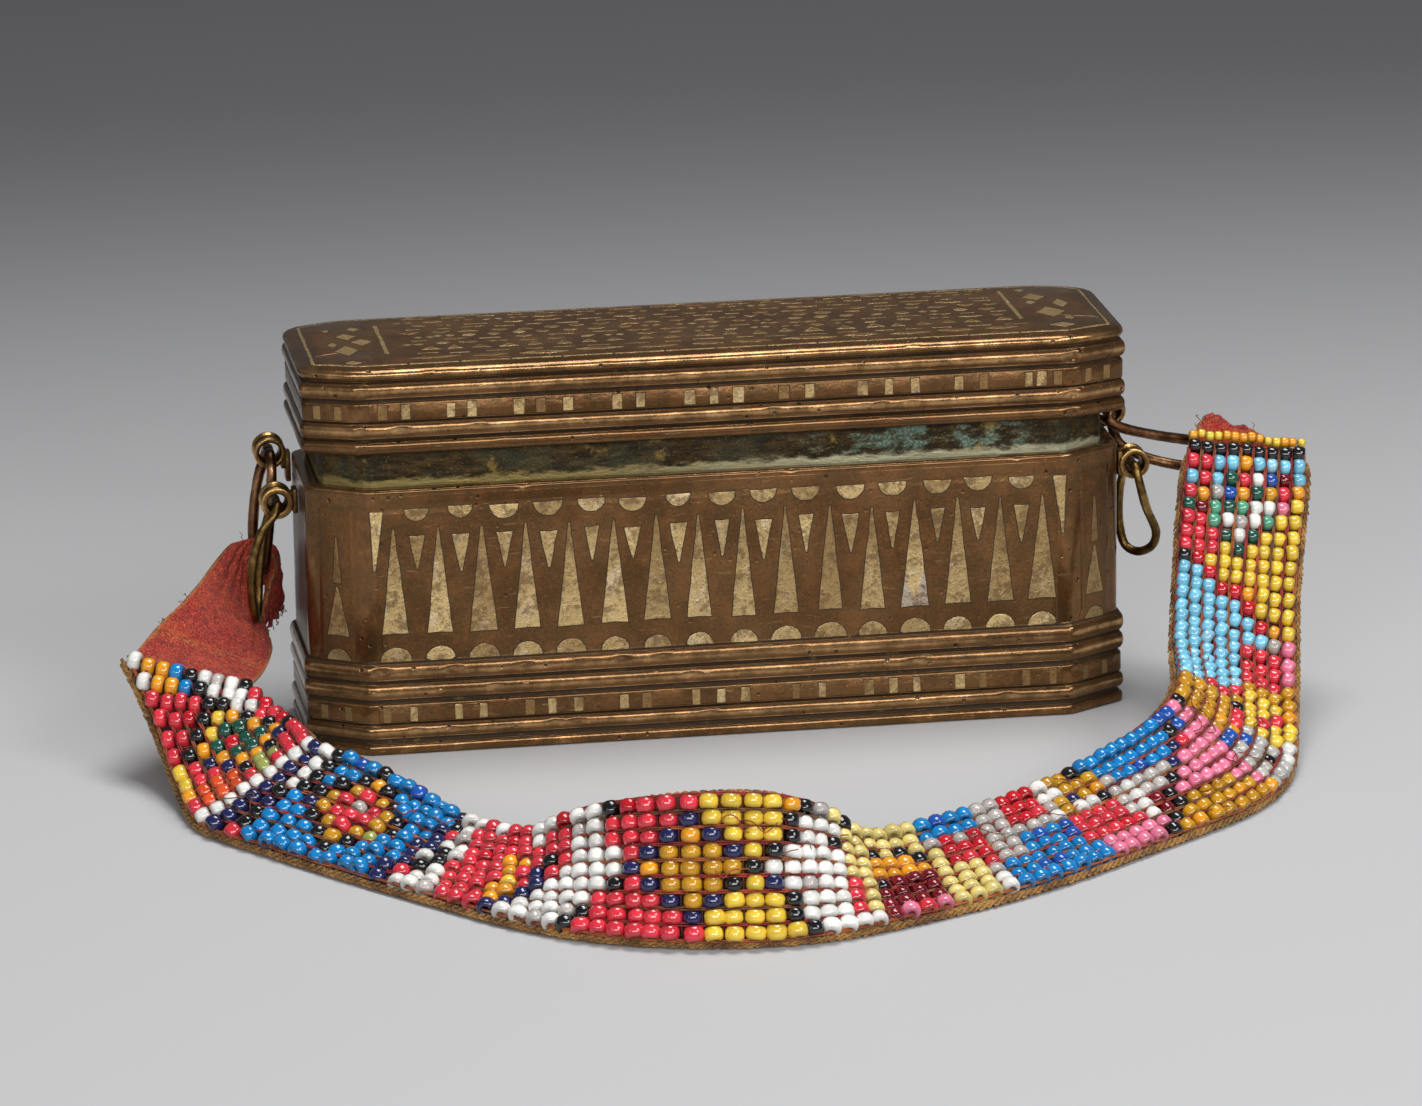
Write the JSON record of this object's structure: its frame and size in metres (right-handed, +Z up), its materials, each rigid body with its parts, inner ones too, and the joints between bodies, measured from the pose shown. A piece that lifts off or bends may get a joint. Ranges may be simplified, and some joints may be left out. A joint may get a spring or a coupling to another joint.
{
  "type": "betel container with strap",
  "caption": "Elongated eight-sided cast metal box with a lift-off lid on a neck collar, inner compartments, eyelets with wire loops, and a bead strap held by cloth tabs.",
  "frame": {"origin": "middle of the underside of the foot, where the box stands", "axes": "+X along the box to the right, +Y to the back, away from the strap, +Z up"},
  "size_m": [0.2061, 0.1484, 0.0675],
  "materials": {
    "patinated_brass": "cast, brown patina worn to gold on the rolls",
    "verdigris_brass": "sheet, green verdigris",
    "plain_brass": "cast and drawn, tarnished",
    "copper_wire": "drawn wire, copper red, tarnished",
    "glass_beads": "small opaque and clear glass beads in many colours, sewn close",
    "edge_thread": "chain-stitched cotton thread",
    "red_cloth": "coarse woven cotton, gathered"
  },
  "bodies": {
    "box": {"body": "patinated_brass", "collar": "verdigris_brass", "divider_1": "verdigris_brass", "divider_2": "verdigris_brass", "divider_3": "verdigris_brass", "eyelet_lower_left": "plain_brass", "eyelet_lower_right": "plain_brass", "eyelet_upper_left": "plain_brass", "eyelet_upper_right": "plain_brass", "strap_beadwork": "glass_beads", "strap_cord_outer": "edge_thread", "strap_cord_inner": "edge_thread", "cloth_tab_left": "red_cloth", "cloth_tab_right": "red_cloth"},
    "lid": {"lid": "patinated_brass"},
    "loop_lower_left": {"loop_lower_left": "plain_brass"},
    "loop_lower_right": {"loop_lower_right": "plain_brass"},
    "loop_upper_left": {"loop_upper_left": "copper_wire"},
    "loop_upper_right": {"loop_upper_right": "copper_wire"}
  },
  "joints": [
    {"name": "lid_lift", "type": "slide", "parent": "box", "child": "lid", "axis": [0, 0, 1], "range_m": [0, 0.04]},
    {"name": "loop_lower_left_swing", "type": "hinge", "parent": "box", "child": "loop_lower_left", "pos_m": [-0.0734, -0.0009, 0.0408], "axis": [0, -1, 0], "range_deg": [0, 16]},
    {"name": "loop_lower_right_swing", "type": "hinge", "parent": "box", "child": "loop_lower_right", "pos_m": [0.0727, -0.0087, 0.0417], "axis": [0, -1, 0], "range_deg": [0, 30]},
    {"name": "loop_upper_left_swing", "type": "hinge", "parent": "box", "child": "loop_upper_left", "pos_m": [-0.0734, 0.01, 0.0467], "axis": [0, -1, 0], "range_deg": [-1.5, 1.5]},
    {"name": "loop_upper_right_swing", "type": "hinge", "parent": "box", "child": "loop_upper_right", "pos_m": [0.0701, -0.0008, 0.04915], "axis": [0, -1, 0], "range_deg": [-1.5, 1.5]}
  ]
}
